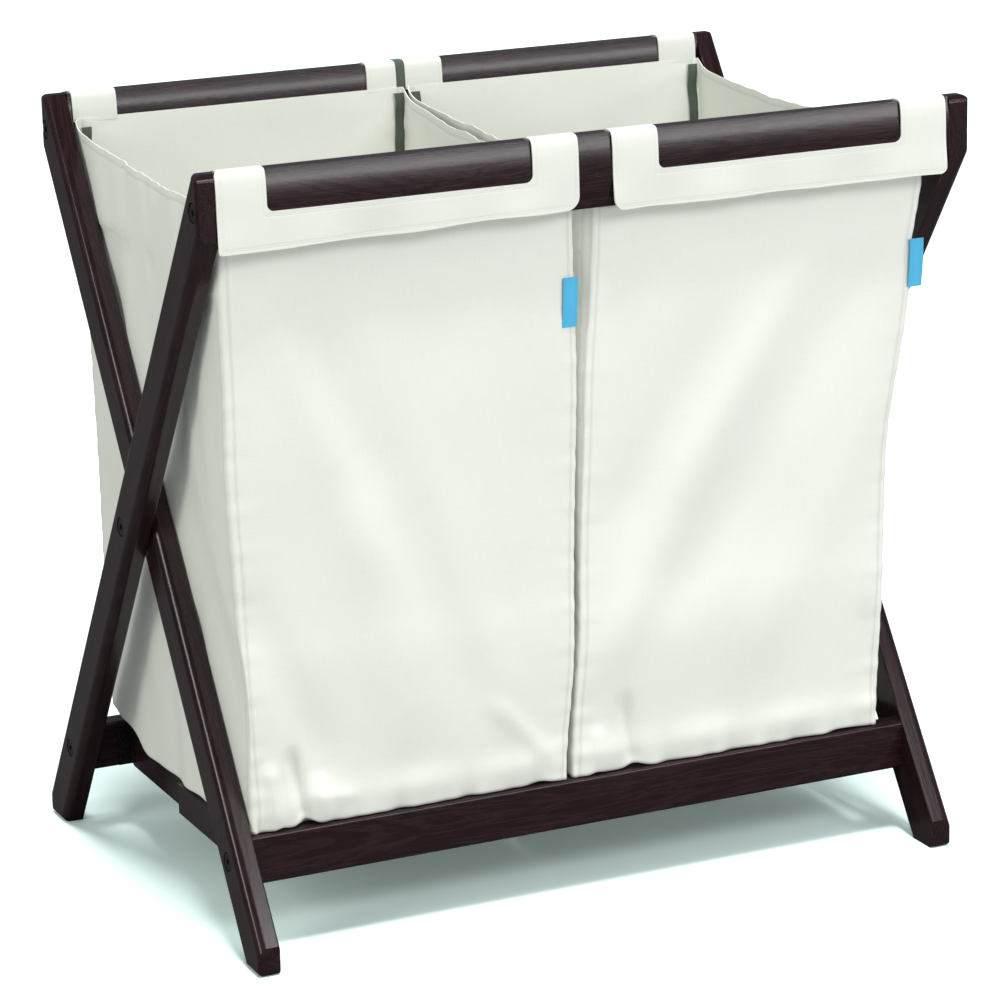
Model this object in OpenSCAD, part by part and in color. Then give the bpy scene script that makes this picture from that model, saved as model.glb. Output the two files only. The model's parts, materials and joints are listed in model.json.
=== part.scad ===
// Double laundry hamper: two cloth bags side by side on a folding wooden X-frame.
// X runs along the rails, -Y is the front, Z is up. The origin is on the floor
// under the middle of the stand. All sizes are in millimetres.

/* [Frame] */
// Width over the outer legs
frame_w = 800; // [760:10:860]
// Height of the top rails above the floor
frame_h = 764; // [740:2:790]
// Height of the fold axis above the floor
pivot_z = 378; // [370:1:386]
// Lean of every leg from upright, in degrees
lean = 34.3; // [33:0.1:35]

/* [Legs] */
// Thickness of a leg, measured across the stand
leg_t = 22; // [20:1:24]
// Width of a leg, seen from the side
leg_w = 48; // [44:1:52]
// Radius on the two outer edges of a leg
leg_round = 9; // [5:1:10]
// Radius on the two inner edges of a leg
leg_ease = 2; // [1:0.5:3]
// Radius where a leg's level cuts meet its outer face
level_round = 8; // [5:1:9]
// Radius where a leg's plumb cuts meet its outer face
plumb_round = 4.5; // [3:0.5:5]
// Gap between an outer leg and its inner leg
leg_gap = 1.6; // [1.2:0.1:2.4]
// Distance of the plumb cut at a leg's top from the middle of the stand
tip_y = 250; // [248:1:256]
// Distance of the plumb cut at a leg's toe from the middle of the stand
toe_y = 267; // [262:1:272]

/* [Rails] */
// Height of a top rail
top_rail_h = 70; // [66:1:74]
// Thickness of a top rail at half height
top_rail_t = 22; // [20:1:24]
// How far each broad face of a top rail bulges
top_rail_bulge = 3.5; // [2:0.5:4.5]
// Height of a bottom rail
low_rail_h = 48; // [44:1:52]
// Thickness of a bottom rail
low_rail_t = 23; // [20:1:25]
// Height of the bottom rails' centre line
low_rail_z = 93; // [90:1:96]

/* [Braces] */
// Height of a brace board
brace_h = 31; // [26:1:34]
// Thickness of a brace board
brace_t = 8; // [6:1:9]
// Height of the braces' centre line
brace_z = 87; // [85:1:89]
// Distance of a brace's bracket pin from its rail's face
brace_reach = 19; // [18.5:0.5:22]

/* [Bags] */
// Thickness of the cloth, folds and air between layers included
cloth = 2.4; // [2:0.2:3]
// Height of the cuff's lower hem above the floor
hem_z = 690; // [684:1:692]
// Height of the line beside the top rail where a panel's top edge swings
swing_z = 736.5; // [734:0.5:742]
// Height of a hand hole's lower edge
hole_z = 725.5; // [722:0.5:732]
// Height of the side panels' top edges at their ends
side_top_z = 728; // [720:1:734]
// How far the side panels' top edges sag
side_sag = 8; // [0:1:14]
// Distance of the front and back panels' lower edges from the middle
panel_low_y = 203; // [200:1:206]
// Length of a corner tape
tape_len = 58; // [40:1:70]

/* [Fastenings] */
// Radius of a bolt head
head_r = 8.5; // [7:0.5:9]
// Radius of the recess that a bolt head sits in
recess_r = 9.6; // [9.2:0.1:10.5]
// Radius of a rail bolt
rail_bolt_r = 3; // [2.5:0.5:4]
// Radius of a pivot bolt
pivot_bolt_r = 4; // [3:0.5:5]

/* [Hidden] */
$fn = 64;

wood = [0.20, 0.14, 0.15];
steel = [0.25, 0.24, 0.24];
canvas = [0.90, 0.91, 0.87];
tape_grey = [0.30, 0.34, 0.31];
label_blue = [0.25, 0.62, 0.82];

sides = [-1, 1];
top_bolt_z = frame_h - top_rail_h / 2;
top_bolt_y = (top_bolt_z - pivot_z) * tan(lean);
low_bolt_y = (pivot_z - low_rail_z) * tan(lean);
// Faces of the legs on the left side, counted from the outside in
outer_leg_out = frame_w / 2;
outer_leg_in = outer_leg_out - leg_t;
inner_leg_out = outer_leg_in - leg_gap;
inner_leg_in = inner_leg_out - leg_t;
trim_round = 7;
arc_proud = 0.3;
recess_depth = 3.5;
head_t = 3;
rail_bolt_reach = 48;
nut_reach = 35;
nut_r = 5;
nut_len = 14;
slack = 0.3;
washer_t = 1.2;
cap_nut_t = 4.5;
cap_recess = 5.6;

// Braces lie lapped: the front board outside the back board
brace_pin_y = low_bolt_y - low_rail_t / 2 - brace_reach;
brace_out_x = inner_leg_in - 5.2;
brace_in_x = brace_out_x - brace_t - 0.6;
brace_lap = 12;
brace_pin_r = 4;
ear_t = 2;
plate_t = 2;
plate_h = 34;
plate_w = 25;

// Bag layout: where each bag starts and ends on the front and back rails
cuff_front_x = [[-377, -22], [14, 373]];
cuff_back_x = [[-351, 5], [9, 351]];
panel_front_x = [[-352, -22], [-2, 352]];
panel_back_x = [[-352, 5], [9, 352]];
hole_front_x = [[-333, -69], [61, 323]];
hole_back_x = [[-304, -31], [54, 307]];
hole_round = 9;
cuff_in = top_bolt_y - top_rail_t / 2 - 0.4;
cuff_out = top_bolt_y + top_rail_t / 2 + 0.4;
swing_y = cuff_in - cloth / 2;
floor_low_z = low_rail_z + 13.5;
floor_high_z = low_rail_z + low_rail_h / 2 + 1.5;
panel_len = sqrt(pow(swing_y - panel_low_y, 2) + pow(swing_z - floor_high_z, 2));
panel_tilt = atan((swing_y - panel_low_y) / (swing_z - floor_high_z));

// ---- helpers -------------------------------------------------------------

// A rod along X from x0 to x1 through (y, z)
module rod(x0, x1, y, z, r) {
    translate([min(x0, x1), y, z]) rotate([0, 90, 0]) cylinder(h = abs(x1 - x0), r = r);
}

// A drawing in the YZ plane given thickness along X, from x0 to x1
module plate_x(x0, x1) {
    translate([min(x0, x1), 0, 0]) rotate([90, 0, 90]) linear_extrude(height = abs(x1 - x0)) children();
}

// A rectangle with its four corners rounded by r
module rounded(w, h, r) {
    square([w, h - 2 * r], center = true);
    square([w - 2 * r, h], center = true);
    for (a = sides, b = sides) translate([a * (w / 2 - r), b * (h / 2 - r)]) circle(r = r);
}

// ---- wooden frame --------------------------------------------------------

// Cross-section of a left-hand leg: outer edges well rounded, inner edges eased
module leg_outline() {
    half = leg_w / 2;
    translate([0, leg_round - half]) square([leg_t, leg_w - 2 * leg_round]);
    translate([leg_round, -half]) square([leg_t - leg_round - leg_ease, leg_w]);
    translate([leg_round, leg_ease - half]) square([leg_t - leg_round, leg_w - 2 * leg_ease]);
    for (s = sides) translate([leg_round, s * (half - leg_round)]) circle(r = leg_round);
    for (s = sides) translate([leg_t - leg_ease, s * (half - leg_ease)]) circle(r = leg_ease);
}

// Eases the two ends of a leg's outer face where cuts w apart end it. The arc stands a
// little outside both faces, so that it meets each at a slight angle
module end_round(w, r) {
    half = w / 2 + arc_proud;
    translate([r - arc_proud, -half]) square([leg_t + 3, 2 * half]);
    translate([-arc_proud, r - half]) square([leg_t, 2 * (half - r)]);
    for (s = sides) translate([r - arc_proud, s * (half - r)]) circle(r = r);
}

// Level cuts at floor and top, plumb cuts at the tip and the toe (top leans to -Y)
module leg_trim() {
    depth = tip_y + toe_y;
    translate([(toe_y - tip_y) / 2, frame_h / 2]) rounded(depth, frame_h, trim_round);
}

// A left leg whose top leans to the front; x is the distance of its outer face
module leg(x, to_back) {
    mirror([0, to_back ? 1 : 0, 0]) intersection() {
        translate([-x, 0, pivot_z]) rotate([lean, 0, 0])
            linear_extrude(height = 1200, center = true) leg_outline();
        plate_x(-x - 1, -x + leg_t + 1) leg_trim();
        translate([-x, 0, frame_h / 2]) rotate([90, 0, 0])
            linear_extrude(height = 1200, center = true) end_round(frame_h, level_round);
        translate([-x, (toe_y - tip_y) / 2, -1])
            linear_extrude(height = frame_h + 2) end_round(tip_y + toe_y, plumb_round);
    }
}

// Through holes and recesses for the two rail bolts of a left leg
module rail_bolt_holes(x, to_back) {
    s = to_back ? 1 : -1;
    for (p = [[s * top_bolt_y, top_bolt_z], [-s * low_bolt_y, low_rail_z]]) {
        rod(-x - 1, -x + leg_t + 1, p[0], p[1], rail_bolt_r + 0.2);
        rod(-x - 1, -x + recess_depth, p[0], p[1], recess_r);
    }
}

module outer_leg() {
    difference() {
        leg(outer_leg_out, false);
        rail_bolt_holes(outer_leg_out, false);
        rod(-outer_leg_out - 1, -outer_leg_in + 1, 0, pivot_z, pivot_bolt_r + 0.1);
        rod(-outer_leg_out - 1, -outer_leg_out + recess_depth, 0, pivot_z, recess_r);
    }
}

module inner_leg() {
    difference() {
        leg(inner_leg_out, true);
        rail_bolt_holes(inner_leg_out, true);
        rod(-inner_leg_out - 1, -inner_leg_in + 1, 0, pivot_z, pivot_bolt_r + 0.06);
        rod(-inner_leg_in - cap_recess, -inner_leg_in + 1, 0, pivot_z, recess_r);
    }
}

// Section of a top rail: both broad faces are shallow arcs
module top_rail_section() {
    h = top_rail_h / 2;
    arc_r = (h * h + top_rail_bulge * top_rail_bulge) / (2 * top_rail_bulge);
    intersection() {
        rounded(top_rail_t + 2, top_rail_h, 4);
        translate([arc_r - top_rail_t / 2, 0]) circle(r = arc_r, $fn = 256);
        translate([top_rail_t / 2 - arc_r, 0]) circle(r = arc_r, $fn = 256);
    }
}

// End bores for the rail bolts and cross holes for the barrel nuts, one rail
module rail_bores(end_x, y, z, inward) {
    for (s = sides) {
        rod(s * (end_x + 1), s * (end_x - rail_bolt_reach), y, z, rail_bolt_r + 0.2);
        translate([s * (end_x - nut_reach), y, z]) rotate([inward * 90, 0, 0])
            translate([0, 0, -nut_len / 2 - 0.2]) cylinder(h = 40, r = nut_r + 0.1);
    }
}

module top_rail(end_x, y, inward) {
    difference() {
        plate_x(-end_x, end_x) translate([y, top_bolt_z]) top_rail_section();
        rail_bores(end_x, y, top_bolt_z, inward);
    }
}

module bottom_rail(end_x, y, inward) {
    difference() {
        plate_x(-end_x, end_x) translate([y, low_rail_z]) rounded(low_rail_t, low_rail_h, 2.5);
        rail_bores(end_x, y, low_rail_z, inward);
    }
}

module outer_leg_left() { color(wood) outer_leg(); }
module outer_leg_right() { color(wood) mirror([1, 0, 0]) outer_leg(); }
module inner_leg_left() { color(wood) inner_leg(); }
module inner_leg_right() { color(wood) mirror([1, 0, 0]) inner_leg(); }
module top_rail_front() { color(wood) top_rail(outer_leg_in, -top_bolt_y, -1); }
module top_rail_back() { color(wood) top_rail(inner_leg_in, top_bolt_y, 1); }
module bottom_rail_front() { color(wood) bottom_rail(inner_leg_in, -low_bolt_y, -1); }
module bottom_rail_back() { color(wood) bottom_rail(outer_leg_in, low_bolt_y, 1); }

// ---- bolts ---------------------------------------------------------------

// A bolt with a low domed head; its head's underside sits in the recess at x
module bolt(x, y, z, r, reach) {
    seat = x - recess_depth;
    for (s = sides) {
        rod(s * seat, s * (seat - reach), y, z, r);
        difference() {
            rod(s * seat, s * (seat + head_t), y, z, head_r);
            translate([s * (seat + head_t), y, z]) rotate([0, 90, 0])
                cylinder(h = 3.2, r = 3.4, center = true, $fn = 6);
        }
    }
}

module barrel_nuts(end_x, y, z) {
    for (s = sides) difference() {
        translate([s * (end_x - nut_reach), y, z]) rotate([90, 0, 0])
            cylinder(h = nut_len, r = nut_r, center = true);
        rod(s * (end_x - nut_reach - 8), s * (end_x - nut_reach + 8), y, z, rail_bolt_r + 0.05);
    }
}

module rail_bolts_outer() {
    color(steel) {
        bolt(outer_leg_out, -top_bolt_y, top_bolt_z, rail_bolt_r, leg_t + nut_reach + 6);
        bolt(outer_leg_out, low_bolt_y, low_rail_z, rail_bolt_r, leg_t + nut_reach + 6);
    }
}
module rail_bolts_inner() {
    color(steel) {
        bolt(inner_leg_out, top_bolt_y, top_bolt_z, rail_bolt_r, leg_t + nut_reach + 6);
        bolt(inner_leg_out, -low_bolt_y, low_rail_z, rail_bolt_r, leg_t + nut_reach + 6);
    }
}
module barrel_nuts_outer() {
    color(steel) {
        barrel_nuts(outer_leg_in, -top_bolt_y, top_bolt_z);
        barrel_nuts(outer_leg_in, low_bolt_y, low_rail_z);
    }
}
module barrel_nuts_inner() {
    color(steel) {
        barrel_nuts(inner_leg_in, top_bolt_y, top_bolt_z);
        barrel_nuts(inner_leg_in, -low_bolt_y, low_rail_z);
    }
}
module pivot_bolts() {
    seat = inner_leg_in + cap_recess - slack;
    color(steel) bolt(outer_leg_out, 0, pivot_z, pivot_bolt_r, outer_leg_out - recess_depth - seat + 2.6);
}
module pivot_washers() {
    color(steel) for (s = sides) difference() {
        rod(s * outer_leg_in, s * (outer_leg_in - washer_t), 0, pivot_z, 14);
        rod(s * (outer_leg_in + 1), s * (outer_leg_in - 3), 0, pivot_z, pivot_bolt_r + 0.05);
    }
}
// Cap nuts sunk in the inner legs, a little off the bottom of their recesses
module pivot_nuts() {
    seat = inner_leg_in + cap_recess - slack;
    color(steel) for (s = sides) difference() {
        rod(s * seat, s * (seat - cap_nut_t), 0, pivot_z, 8);
        rod(s * (seat + 1), s * (seat - 3), 0, pivot_z, pivot_bolt_r + 0.05);
    }
}

// ---- folding braces ------------------------------------------------------

// Outline of a brace board: round about its bracket pin, square at the middle
module brace_outline(dir) {
    translate([-dir * brace_pin_y, brace_z]) circle(r = brace_h / 2);
    span = brace_pin_y + brace_lap;
    translate([-dir * brace_pin_y + dir * span / 2, brace_z]) square([span, brace_h], center = true);
}

// Left brace half: dir is 1 for the front board and -1 for the back board
module brace_half(x, dir) {
    difference() {
        plate_x(-x, -x + brace_t) brace_outline(dir);
        rod(-x - 1, -x + brace_t + 1, -dir * brace_pin_y, brace_z, brace_pin_r + 0.06);
        if (dir < 0) rod(-x - 1, -x + brace_t + 1, 0, brace_z, 3.3);
        if (dir > 0) rod(-x + brace_t - 5, -x + brace_t + 1, 0, brace_z, 3.3);
    }
}

module brace_front_left() { color(wood) brace_half(brace_out_x, 1); }
module brace_front_right() { color(wood) mirror([1, 0, 0]) brace_half(brace_out_x, 1); }
module brace_back_left() { color(wood) brace_half(brace_in_x, -1); }
module brace_back_right() { color(wood) mirror([1, 0, 0]) brace_half(brace_in_x, -1); }

// Pin at the middle of a brace, carried by the back board
module centre_pin() {
    rod(-brace_in_x + 0.2, -brace_in_x + brace_t, 0, brace_z, 3.25);
    rod(-brace_in_x + brace_t, -brace_in_x + brace_t + 1.8, 0, brace_z, 6);
}
module centre_pin_left() { color(steel) centre_pin(); }
module centre_pin_right() { color(steel) mirror([1, 0, 0]) centre_pin(); }

// Angle bracket on a bottom rail's inner face; ear_x is its ear's outer face
module bracket(plate_x0, ear_x, dir) {
    face_y = low_bolt_y - low_rail_t / 2;
    mirror([0, dir > 0 ? 0 : 1, 0]) {
        translate([plate_x0, -face_y, brace_z - plate_h / 2]) cube([plate_w, plate_t, plate_h]);
        difference() {
            plate_x(ear_x, ear_x + ear_t) {
                translate([-brace_pin_y, brace_z]) circle(r = 9);
                translate([-(face_y + brace_pin_y) / 2, brace_z])
                    square([face_y - brace_pin_y, 18], center = true);
            }
            rod(ear_x - 1, ear_x + ear_t + 1, -brace_pin_y, brace_z, brace_pin_r + 0.02);
        }
    }
}
module both_sides() {
    children();
    mirror([1, 0, 0]) children();
}
bracket_x = -inner_leg_in + 2.2;
back_ear_x = -brace_in_x + brace_t + 0.8;

module brackets_front() { color(steel) both_sides() bracket(bracket_x, bracket_x, 1); }
module brackets_back() { color(steel) both_sides() bracket(bracket_x, back_ear_x, -1); }
module bracket_pins_front() {
    color(steel) both_sides() {
        rod(bracket_x, -brace_out_x + brace_t - 0.3, -brace_pin_y, brace_z, brace_pin_r);
        rod(bracket_x - 1, bracket_x, -brace_pin_y, brace_z, 6);
    }
}
module bracket_pins_back() {
    color(steel) both_sides() {
        rod(-brace_in_x + 0.3, back_ear_x + ear_t, brace_pin_y, brace_z, brace_pin_r);
        rod(back_ear_x + ear_t, back_ear_x + ear_t + 1.2, brace_pin_y, brace_z, 6);
    }
}
// Round-head screws that hold the brackets' plates to the rails
module bracket_screws(dir, x) {
    face_y = low_bolt_y - low_rail_t / 2 - plate_t;
    both_sides() for (dz = [-11, 11]) translate([x, -dir * face_y, brace_z + dz])
        rotate([dir * 90, 0, 0]) translate([0, 0, -1.2]) cylinder(h = 1.2, r = 3.4);
}
module bracket_screws_front() { color(steel) bracket_screws(1, bracket_x + 20); }
module bracket_screws_back() { color(steel) bracket_screws(-1, bracket_x + 5); }

// ---- bags ----------------------------------------------------------------

// A cuff on the front rail: tabs inside the rail, over it and down outside, with a hand hole
module cuff(x_range, hole) {
    top = frame_h + 0.4 + cloth;
    mid_y = -(cuff_out + cuff_in) / 2;
    difference() {
        plate_x(x_range[0], x_range[1]) difference() {
            translate([mid_y, (top + hem_z) / 2 - 20])
                rounded(cuff_out - cuff_in + 2 * cloth, top - hem_z + 40, 4);
            translate([-cuff_out, hem_z - 60]) square([cuff_out - cuff_in, frame_h + 60.4 - hem_z]);
            translate([mid_y, hem_z - 60]) square([60, 60 + swing_z + cloth / 2 + 0.5 - hem_z]);
            translate([-300, hem_z - 60]) square([300, 60]);
        }
        hand_hole(hole, hole_z, -cuff_out - 8, mid_y);
        hand_hole(hole, swing_z - 20, mid_y - 1, -cuff_in + 8);
    }
}

// The cut for a hand hole: open at the top, lower corners rounded
module hand_hole(hole, low_z, y0, y1) {
    w = hole[1] - hole[0];
    translate([hole[0] + w / 2, y1, low_z + 60]) rotate([90, 0, 0])
        linear_extrude(height = y1 - y0) rounded(w, 120, hole_round);
}

// Places a drawing in a front panel's own frame: Z down the panel from the swing axis
module on_panel() {
    translate([0, -swing_y, swing_z]) rotate([panel_tilt, 0, 0]) children();
}

module panel(x_range) {
    on_panel() plate_x(x_range[0], x_range[1]) {
        circle(r = cloth / 2);
        translate([-cloth / 2, -panel_len]) square([cloth, panel_len]);
    }
}

// A side panel in the YZ plane: trapezium whose top edge sags
module side_outline() {
    gap = cloth / 2 + 0.7;
    top_y = swing_y - (swing_z - side_top_z) * tan(panel_tilt) - gap;
    low_y = panel_low_y - gap;
    polygon([[-low_y, floor_high_z + 3.5], [-low_y + 44, floor_low_z + 3.4],
             [low_y - 44, floor_low_z + 3.4], [low_y, floor_high_z + 3.5], [top_y, side_top_z],
             [top_y / 2, side_top_z - 0.75 * side_sag], [0, side_top_z - side_sag],
             [-top_y / 2, side_top_z - 0.75 * side_sag], [-top_y, side_top_z]]);
}

// A side panel that runs from x_front at the front panel to x_back at the back panel
module side(x_front, x_back, inward) {
    turn = atan((x_front - x_back) / (2 * swing_y));
    translate([(x_front + x_back) / 2, 0, 0]) rotate([0, 0, turn])
        plate_x(0, inward * cloth) side_outline();
}

// The bottom sags between the two bottom rails and lies over their tops
module floor_strip() {
    y1 = panel_low_y - cloth / 2 - 0.6;
    y2 = y1 - 22;
    y3 = y2 - 24;
    polygon([[-y1, floor_high_z], [-y2, floor_high_z], [-y3, floor_low_z], [y3, floor_low_z],
             [y2, floor_high_z], [y1, floor_high_z], [y1, floor_high_z + cloth],
             [y2 - 1, floor_high_z + cloth], [y3 - 1, floor_low_z + cloth], [1 - y3, floor_low_z + cloth],
             [1 - y2, floor_high_z + cloth], [-y1, floor_high_z + cloth]]);
}
module bag_floor(front, back) {
    e = cloth + 0.6;
    intersection() {
        plate_x(min(front[0], back[0]), max(front[1], back[1])) floor_strip();
        linear_extrude(height = 300)
            polygon([[front[0] + e, -swing_y], [front[1] - e, -swing_y],
                     [back[1] - e, swing_y], [back[0] + e, swing_y]]);
    }
}

// A woven label sewn into the right-hand seam of a front panel
module label(x) {
    on_panel() translate([x - 15, -cloth / 2 - 1, -162]) cube([15, 0.9, 48]);
}

// Tapes sewn up the corners inside a front panel
module tapes(x_range) {
    for (x = [x_range[0] + 5, x_range[1] - 14])
        on_panel() translate([x, cloth / 2 + 0.1, -7 - tape_len]) cube([9, 0.8, tape_len]);
}

module left_cuff_front() { color(canvas) cuff(cuff_front_x[0], hole_front_x[0]); }
module right_cuff_front() { color(canvas) cuff(cuff_front_x[1], hole_front_x[1]); }
module left_cuff_back() { color(canvas) mirror([0, 1, 0]) cuff(cuff_back_x[0], hole_back_x[0]); }
module right_cuff_back() { color(canvas) mirror([0, 1, 0]) cuff(cuff_back_x[1], hole_back_x[1]); }
module left_panel_front() { color(canvas) panel(panel_front_x[0]); }
module right_panel_front() { color(canvas) panel(panel_front_x[1]); }
module left_panel_back() { color(canvas) mirror([0, 1, 0]) panel(panel_back_x[0]); }
module right_panel_back() { color(canvas) mirror([0, 1, 0]) panel(panel_back_x[1]); }
module left_side_outer() { color(canvas) side(panel_front_x[0][0], panel_back_x[0][0], 1); }
module left_side_inner() { color(canvas) side(panel_front_x[0][1], panel_back_x[0][1], -1); }
module right_side_inner() { color(canvas) side(panel_front_x[1][0], panel_back_x[1][0], 1); }
module right_side_outer() { color(canvas) side(panel_front_x[1][1], panel_back_x[1][1], -1); }
module left_bottom() { color(canvas) bag_floor(panel_front_x[0], panel_back_x[0]); }
module right_bottom() { color(canvas) bag_floor(panel_front_x[1], panel_back_x[1]); }
module left_label() { color(label_blue) label(panel_front_x[0][1]); }
module right_label() { color(label_blue) label(panel_front_x[1][1]); }
module left_tapes_front() { color(tape_grey) tapes(panel_front_x[0]); }
module left_tapes_back() { color(tape_grey) mirror([0, 1, 0]) tapes(panel_back_x[0]); }
module right_tapes_front() { color(tape_grey) tapes(panel_front_x[1]); }
module right_tapes_back() { color(tape_grey) mirror([0, 1, 0]) tapes(panel_back_x[1]); }

outer_leg_left();
outer_leg_right();
inner_leg_left();
inner_leg_right();
top_rail_front();
top_rail_back();
bottom_rail_front();
bottom_rail_back();
rail_bolts_outer();
rail_bolts_inner();
barrel_nuts_outer();
barrel_nuts_inner();
pivot_bolts();
pivot_washers();
pivot_nuts();
brace_front_left();
brace_front_right();
brace_back_left();
brace_back_right();
centre_pin_left();
centre_pin_right();
brackets_front();
brackets_back();
bracket_pins_front();
bracket_pins_back();
bracket_screws_front();
bracket_screws_back();
left_cuff_front();
left_cuff_back();
left_panel_front();
left_panel_back();
left_side_outer();
left_side_inner();
left_bottom();
left_label();
right_cuff_front();
right_cuff_back();
right_panel_front();
right_panel_back();
right_side_outer();
right_side_inner();
right_bottom();
right_label();
left_tapes_front();
left_tapes_back();
right_tapes_front();
right_tapes_back();
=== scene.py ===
# A double laundry hamper: two canvas bags hung by their cuffs from a folding stand of
# dark-stained wood. Metres throughout; X along the rails, -Y the front, Z up.
import json
import math

import bpy
import numpy as np
from mathutils import Matrix, Vector


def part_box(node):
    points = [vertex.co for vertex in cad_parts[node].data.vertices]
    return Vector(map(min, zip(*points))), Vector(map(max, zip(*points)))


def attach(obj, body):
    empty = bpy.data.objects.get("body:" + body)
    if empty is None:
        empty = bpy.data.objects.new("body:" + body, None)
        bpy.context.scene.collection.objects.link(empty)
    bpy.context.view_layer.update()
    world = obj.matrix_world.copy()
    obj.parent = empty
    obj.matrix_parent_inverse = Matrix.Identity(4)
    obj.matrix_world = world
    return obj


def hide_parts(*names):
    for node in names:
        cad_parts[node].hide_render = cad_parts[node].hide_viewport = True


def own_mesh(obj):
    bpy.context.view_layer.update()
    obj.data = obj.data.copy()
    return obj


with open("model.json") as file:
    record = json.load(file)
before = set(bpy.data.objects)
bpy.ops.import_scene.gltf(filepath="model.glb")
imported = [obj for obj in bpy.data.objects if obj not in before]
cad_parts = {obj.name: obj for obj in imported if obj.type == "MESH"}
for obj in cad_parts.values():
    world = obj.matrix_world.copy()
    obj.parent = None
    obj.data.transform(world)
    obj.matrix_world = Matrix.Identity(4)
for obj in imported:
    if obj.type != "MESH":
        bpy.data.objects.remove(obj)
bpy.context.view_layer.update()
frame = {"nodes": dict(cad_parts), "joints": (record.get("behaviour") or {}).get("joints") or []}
nodes = frame["nodes"]

# ---- Camera ----------------------------------------------------------------
# A long lens, a little above the rails and off to the left of the front, held
# level to within a degree or so.
eye = np.array([-1.6047, -3.5280, 1.4263])
yaw, pitch, roll = (math.radians(a) for a in (24.525, -15.515, -1.328))
flat_ahead = np.array([math.sin(yaw), math.cos(yaw), 0.0])
ahead = math.cos(pitch) * flat_ahead + np.array([0.0, 0.0, math.sin(pitch)])
level = np.array([math.cos(yaw), -math.sin(yaw), 0.0])
upright = np.cross(level, ahead)
across = math.cos(roll) * level + math.sin(roll) * upright
upward = -math.sin(roll) * level + math.cos(roll) * upright
camera = bpy.data.objects.new("camera", bpy.data.cameras.new("camera"))
film_width = 36.0
camera.data.sensor_width = film_width
camera.data.lens = 3.978 * film_width
camera.data.clip_end = 60.0
camera.matrix_world = Matrix(
    [[across[i], upward[i], -ahead[i], eye[i]] for i in range(3)] + [[0, 0, 0, 1]])
bpy.context.scene.collection.objects.link(camera)
bpy.context.scene.camera = camera

# ---- Floor and studio light --------------------------------------------------
# A seamless pale floor under a broad skylight, which leaves a soft shadow below the stand, with two
# front softboxes that put the sheen on the wood and a third at the left. The skylight and the open
# studio above are kept out of the varnish's reflections. The floor is whiter to the eye than to the
# light it throws back. Its colour to the eye is above one and cyan, so where it is lit it clips to
# white and its shadow shows a cool tint, painted in on top of the sky's slight blue.
def sockets(node, **values):
    """Sets a node's inputs by name, with spaces written as underscores."""
    for name, value in values.items():
        node.inputs[name.replace("_", " ")].default_value = value
    return node


def new_material(name):
    """An empty material with its output and one Principled shader joined up."""
    material = bpy.data.materials.new(name)
    material.use_nodes = True
    tree = material.node_tree
    tree.nodes.clear()
    out = tree.nodes.new("ShaderNodeOutputMaterial")
    shader = tree.nodes.new("ShaderNodeBsdfPrincipled")
    tree.links.new(shader.outputs["BSDF"], out.inputs["Surface"])
    return material, tree, shader


def blended(tree, kind, share, first, second):
    """Joins a colour mix of one kind and returns its result. The share and the two colours
    are each a socket or a plain value."""
    node = tree.nodes.new("ShaderNodeMix")
    node.data_type, node.blend_type = "RGBA", kind
    for place, value in ((0, share), (6, first), (7, second)):
        if isinstance(value, (int, float)):
            node.inputs[place].default_value = value
        elif isinstance(value, tuple):
            node.inputs[place].default_value = (*value, 1)
        else:
            tree.links.new(value, node.inputs[place])
    return node.outputs[2]


floor_half = 14.0
floor_mesh = bpy.data.meshes.new("floor")
floor_mesh.from_pydata([(x * floor_half, y * floor_half, 0)
                        for x, y in ((-1, -1), (1, -1), (1, 1), (-1, 1))], [], [(0, 1, 2, 3)])
floor = bpy.data.objects.new("floor", floor_mesh)
bpy.context.scene.collection.objects.link(floor)
floor_paint, tree, shader = new_material("pale floor")
path = tree.nodes.new("ShaderNodeLightPath")
thrown_back = blended(tree, "MIX", path.outputs["Is Glossy Ray"],
                      (0.37, 0.38, 0.38), (0.10, 0.10, 0.10))
# To the eye the floor is painted cyan and brighter than white: where lit it clips to white, and in
# shadow the cyan shows as a painted cool tint.
paint = blended(tree, "MIX", path.outputs["Is Camera Ray"], thrown_back, (1.02, 1.22, 1.19))
tree.links.new(paint, shader.inputs["Base Color"])
sockets(shader, Roughness=0.9, Specular_IOR_Level=0.1)
floor_mesh.materials.append(floor_paint)

world = bpy.data.worlds.new("studio")
bpy.context.scene.world = world
world.use_nodes = True
overhead = sockets(world.node_tree.nodes["Background"], Color=(0.94, 0.98, 1.0, 1))
sky_path = world.node_tree.nodes.new("ShaderNodeLightPath")
dimmed = world.node_tree.nodes.new("ShaderNodeMapRange")
sockets(dimmed, **{"From_Max": 1.0, "To_Min": 0.45, "To_Max": 0.14})
world.node_tree.links.new(sky_path.outputs["Is Glossy Ray"], dimmed.inputs["Value"])
world.node_tree.links.new(dimmed.outputs[0], overhead.inputs["Strength"])
bpy.context.scene.view_settings.view_transform = "Standard"


def softbox(name, at, toward, width, height, power, tint=(1, 1, 1)):
    """A rectangular light at one point, facing another."""
    lamp = bpy.data.lights.new(name, "AREA")
    lamp.shape = "RECTANGLE"
    lamp.size, lamp.size_y, lamp.energy, lamp.color = width, height, power, tint
    holder = bpy.data.objects.new(name, lamp)
    aim = Vector(toward) - Vector(at)
    holder.matrix_world = Matrix.Translation(at) @ aim.to_track_quat("-Z", "Y").to_matrix().to_4x4()
    bpy.context.scene.collection.objects.link(holder)


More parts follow.
